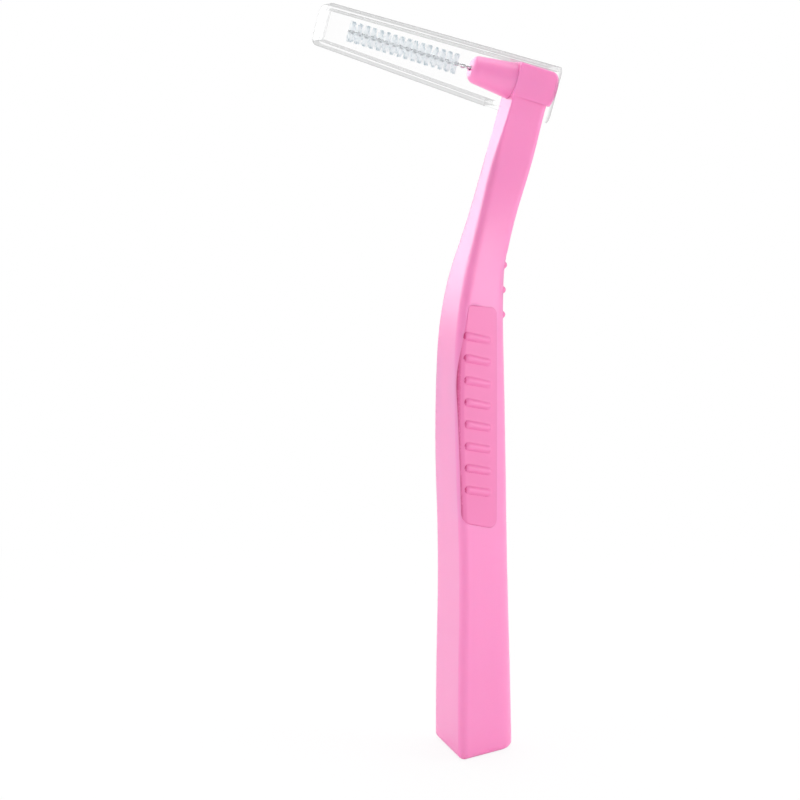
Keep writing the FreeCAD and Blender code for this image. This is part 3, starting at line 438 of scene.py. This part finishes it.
drawnSteel = makeSteelWire()
whiteNylon = makeNylon()
clearStyrene = makeClearPlastic()
print("steel, nylon and clear materials made")


def dress(node, material):
    for slot in frame["nodes"][node].material_slots:
        slot.material = material


def letLightThrough(piece):
    # Clear plastic and thin nylon hardly shade what is behind them
    piece.visible_shadow = False
    piece.visible_diffuse = False


dress("handle", pinkPlastic)
dress("brush_holder", pinkPlastic)
dress("core_wire", drawnSteel)
dress("cap", clearStyrene)
letLightThrough(frame["nodes"]["cap"])
print("solid pieces dressed")


# Soft grip pads: the moulded inserts with their edges and rib roots rounded off

softPads = {
    "merge": 0.002 * mm,
    "voxel": 0.075,  # in millimetres, as is the fill
    "rounding": 2,
    "smoothing": 0.5,
    "fill": 0.04,
    "nodes": {"left_grip_pad": "leftPad", "right_grip_pad": "rightPad", "rear_grip_pad": "rearPad"},
}


def bakeModifiers(piece):
    shown = piece.evaluated_get(bpy.context.evaluated_depsgraph_get())
    mesh = bpy.data.meshes.new_from_object(shown)
    piece.modifiers.clear()
    piece.data = mesh
    mesh.name = piece.name


def makeSoftPad(node, name):
    mesh = frame["nodes"][node].data.copy()
    piece = bpy.data.objects.new(name, mesh)
    scene.collection.objects.link(piece)
    bm = bmesh.new()
    bm.from_mesh(mesh)
    bmesh.ops.remove_doubles(bm, verts=bm.verts, dist=softPads["merge"])
    bmesh.ops.scale(bm, vec=(1 / mm, 1 / mm, 1 / mm), verts=bm.verts)  # to millimetres, for the voxels
    bm.to_mesh(mesh)
    bm.free()
    mesh.attributes.remove(mesh.attributes["custom_normal"])
    remesh = piece.modifiers.new("fineSkin", "REMESH")
    remesh.mode = "VOXEL"
    remesh.voxel_size = softPads["voxel"]
    bakeModifiers(piece)
    mesh = piece.data
    bm = bmesh.new()
    bm.from_mesh(mesh)
    for _ in range(softPads["rounding"]):
        bmesh.ops.smooth_vert(bm, verts=bm.verts, factor=softPads["smoothing"],
                              use_axis_x=True, use_axis_y=True, use_axis_z=True)
    # A little fuller, so that the soft edge closes on the recess as a moulded one does
    bm.normal_update()
    for vert in bm.verts:
        vert.co += vert.normal * softPads["fill"]
    bmesh.ops.scale(bm, vec=(mm, mm, mm), verts=bm.verts)
    for face in bm.faces:
        face.smooth = True
    bm.to_mesh(mesh)
    bm.free()
    mesh.materials.clear()
    mesh.materials.append(softPink)
    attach(piece, "brush")
    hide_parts(node)
    print(name, "has", len(mesh.polygons), "faces")


for padNode, padName in softPads["nodes"].items():
    makeSoftPad(padNode, padName)


# Bristles: fine filaments held between the two strands, fanned out by the twist

bristleRow = {
    "length": 14.2 * mm,
    "span": 2.5 * mm,
    "pitch": 1.8 * mm,
    "fromNeck": 9.1 * mm,
    "thickness": 0.05 * mm,
    "count": 1000,
    "points": 5,
    "roundness": 1,
    "fan": 0.40,
    "comb": -0.33,
    "towardsTip": 0.5 * mm,
    "lean": math.radians(2.0),
    "bend": 0.02 * mm,
    "uneven": 0.006,
    "taper": 0.25,
    "seed": 11,
}


def makeBristles():
    rng = random.Random(bristleRow["seed"])
    start = middleOf("bristles") + brushAxis * (bristleRow["towardsTip"] - bristleRow["length"] / 2)
    curve = bpy.data.curves.new("bristleFilaments", "CURVE")
    curve.dimensions = "3D"
    curve.bevel_depth = bristleRow["thickness"] / 2
    curve.bevel_resolution = bristleRow["roundness"]
    curve.use_fill_caps = True
    half = bristleRow["span"] / 2
    for i in range(bristleRow["count"]):
        along = bristleRow["length"] * i / (bristleRow["count"] - 1)
        # Square to the strands, which turn with the distance from the neck
        twist = 2 * math.pi * (bristleRow["fromNeck"] + along) / bristleRow["pitch"]
        angle = twist + math.pi / 2 + rng.gauss(0, bristleRow["fan"])
        out = upAxis * math.cos(angle) + acrossAxis * math.sin(angle)
        side = brushAxis.cross(out)
        # Combed: a filament that points across the handle leans along the brush
        lean = rng.gauss(0, bristleRow["lean"]) + math.atan(bristleRow["comb"] * out.dot(acrossAxis))
        sweep = rng.gauss(0, bristleRow["bend"])
        reach = half * (1 + rng.gauss(0, bristleRow["uneven"]))
        spline = curve.splines.new("POLY")
        spline.points.add(bristleRow["points"] - 1)
        for k, point in enumerate(spline.points):
            t = 2 * k / (bristleRow["points"] - 1) - 1  # from one tip, -1, to the other, 1
            at = start + brushAxis * (along + math.tan(lean) * reach * t) + out * (reach * t)
            at += side * (sweep * t * t)
            point.co = (at.x, at.y, at.z, 1.0)
            point.radius = 1.0 - bristleRow["taper"] * t * t
    shape = bpy.data.objects.new("bristleCurve", curve)
    scene.collection.objects.link(shape)
    drawn = shape.evaluated_get(bpy.context.evaluated_depsgraph_get())
    mesh = bpy.data.meshes.new_from_object(drawn)
    bpy.data.objects.remove(shape)
    piece = bpy.data.objects.new("bristleFilaments", mesh)
    scene.collection.objects.link(piece)
    for face in mesh.polygons:
        face.use_smooth = True
    mesh.materials.clear()
    mesh.materials.append(whiteNylon)
    letLightThrough(piece)
    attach(piece, "brush")
    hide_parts("bristles")
    print("bristles have", len(mesh.polygons), "faces")


makeBristles()


# Studio: white floor, white surround that is dimmer behind the camera, and soft lamps

studio = {
    "floorSize": 6.0,
    "floorGlow": 0.88,
    "floorColor": (0.95, 0.95, 0.95),
    "floorRoughness": 0.9,
    "shadowReach": 0.14,
    "worldLight": 0.68,
    "worldBehind": 0.25,
    "worldFade": (-0.7, 0.3),  # from behind the camera to ahead of it
    "lampAim": (0, 0, 50 * mm),
    "lamps": {
        "shineCard": {"from": (-0.27, 0.58, 0.36), "size": 0.70, "power": 3.0,
                      "gloss": True, "body": False},
        "leftFill": {"from": (-0.60, -0.05, 0.20), "size": 0.45, "power": 1.1,
                     "gloss": False, "body": True},
        "rightFill": {"from": (0.52, -0.30, 0.12), "size": 0.45, "power": 1.7,
                      "gloss": True, "body": True},
        "frontFill": {"from": (-0.25, -0.60, 0.30), "size": 0.45, "power": 0.95,
                      "gloss": False, "body": True},
        "topLight": {"from": (0.05, 0.05, 0.75), "size": 0.60, "power": 2.1,
                     "gloss": True, "body": True},
        "backFill": {"from": (0.30, 0.60, 0.25), "size": 0.50, "power": 0.8,
                     "gloss": False, "body": True},
    },
}


def seenDirectly(tree):
    # One for rays that show the surround itself: from the camera, and through clear plastic
    path = addNode(tree, "ShaderNodeLightPath")
    either = addNode(tree, "ShaderNodeMath", operation="MAXIMUM")
    tree.links.new(path.outputs["Is Camera Ray"], either.inputs[0])
    tree.links.new(path.outputs["Is Transmission Ray"], either.inputs[1])
    return path, either.outputs[0]


def makeWorld():
    world = bpy.data.worlds.new("whiteSurround")
    world.use_nodes = True
    tree = world.node_tree
    links = tree.links
    back = tree.nodes["Background"]
    back.inputs["Color"].default_value = (1, 1, 1, 1)
    ahead = Vector((camera["towards"][0], camera["towards"][1], 0)).normalized()
    place = addNode(tree, "ShaderNodeTexCoord")
    facing = addNode(tree, "ShaderNodeVectorMath", {1: ahead}, operation="DOT_PRODUCT")
    fade = addRange(tree, studio["worldFade"], (studio["worldBehind"], 1.0))
    path, direct = seenDirectly(tree)
    share = addRange(tree, (0.0, 1.0), (studio["worldLight"], 1.0))
    dimmed = addNode(tree, "ShaderNodeMath", operation="MULTIPLY")
    level = addNode(tree, "ShaderNodeMath", operation="MAXIMUM")
    links.new(place.outputs["Generated"], facing.inputs[0])
    links.new(facing.outputs["Value"], fade.inputs["Value"])
    links.new(path.outputs["Is Glossy Ray"], share.inputs["Value"])
    links.new(fade.outputs["Result"], dimmed.inputs[0])
    links.new(share.outputs["Result"], dimmed.inputs[1])
    links.new(dimmed.outputs[0], level.inputs[0])
    links.new(direct, level.inputs[1])
    links.new(level.outputs[0], back.inputs["Strength"])
    scene.world = world


def makeFloor():
    bm = bmesh.new()
    bmesh.ops.create_grid(bm, x_segments=1, y_segments=1, size=studio["floorSize"] / 2)
    mesh = bpy.data.meshes.new("whiteFloor")
    bm.to_mesh(mesh)
    bm.free()
    floor = bpy.data.objects.new("whiteFloor", mesh)
    scene.collection.objects.link(floor)
    material, tree, shader = newMaterial("whiteFloor")
    links = tree.links
    shader.inputs["Base Color"].default_value = studio["floorColor"] + (1.0,)
    shader.inputs["Roughness"].default_value = studio["floorRoughness"]
    glow = addNode(tree, "ShaderNodeEmission", {"Strength": 1.0})
    # Near the object the floor keeps some of its own shade, farther off it is as white as the surround
    place = addNode(tree, "ShaderNodeTexCoord")
    away = addNode(tree, "ShaderNodeVectorMath", operation="LENGTH")
    level = addRange(tree, (studio["shadowReach"] / 2, studio["shadowReach"]), (studio["floorGlow"], 1.0))
    share = addNode(tree, "ShaderNodeMath", operation="MULTIPLY")
    mix = addNode(tree, "ShaderNodeMixShader")
    links.new(place.outputs["Object"], away.inputs[0])
    links.new(away.outputs["Value"], level.inputs["Value"])
    links.new(level.outputs["Result"], share.inputs[1])
    links.new(seenDirectly(tree)[1], share.inputs[0])
    links.new(share.outputs[0], mix.inputs["Fac"])
    links.new(shader.outputs["BSDF"], mix.inputs[1])
    links.new(glow.outputs["Emission"], mix.inputs[2])
    links.new(mix.outputs["Shader"], tree.nodes["Material Output"].inputs["Surface"])
    mesh.materials.append(material)


def makeLamps():
    aim = Vector(studio["lampAim"])
    for name, lamp in studio["lamps"].items():
        light = bpy.data.lights.new(name, "AREA")
        light.shape = "DISK"
        light.size = lamp["size"]
        light.energy = lamp["power"]
        holder = bpy.data.objects.new(name, light)
        holder.location = lamp["from"]
        holder.rotation_mode = "QUATERNION"
        holder.rotation_quaternion = (aim - holder.location).to_track_quat("-Z", "Y")
        holder.visible_glossy = lamp["gloss"]
        holder.visible_diffuse = lamp["body"]
        scene.collection.objects.link(holder)


makeWorld()
makeFloor()
makeLamps()
print("studio made")

bpy.context.view_layer.update()
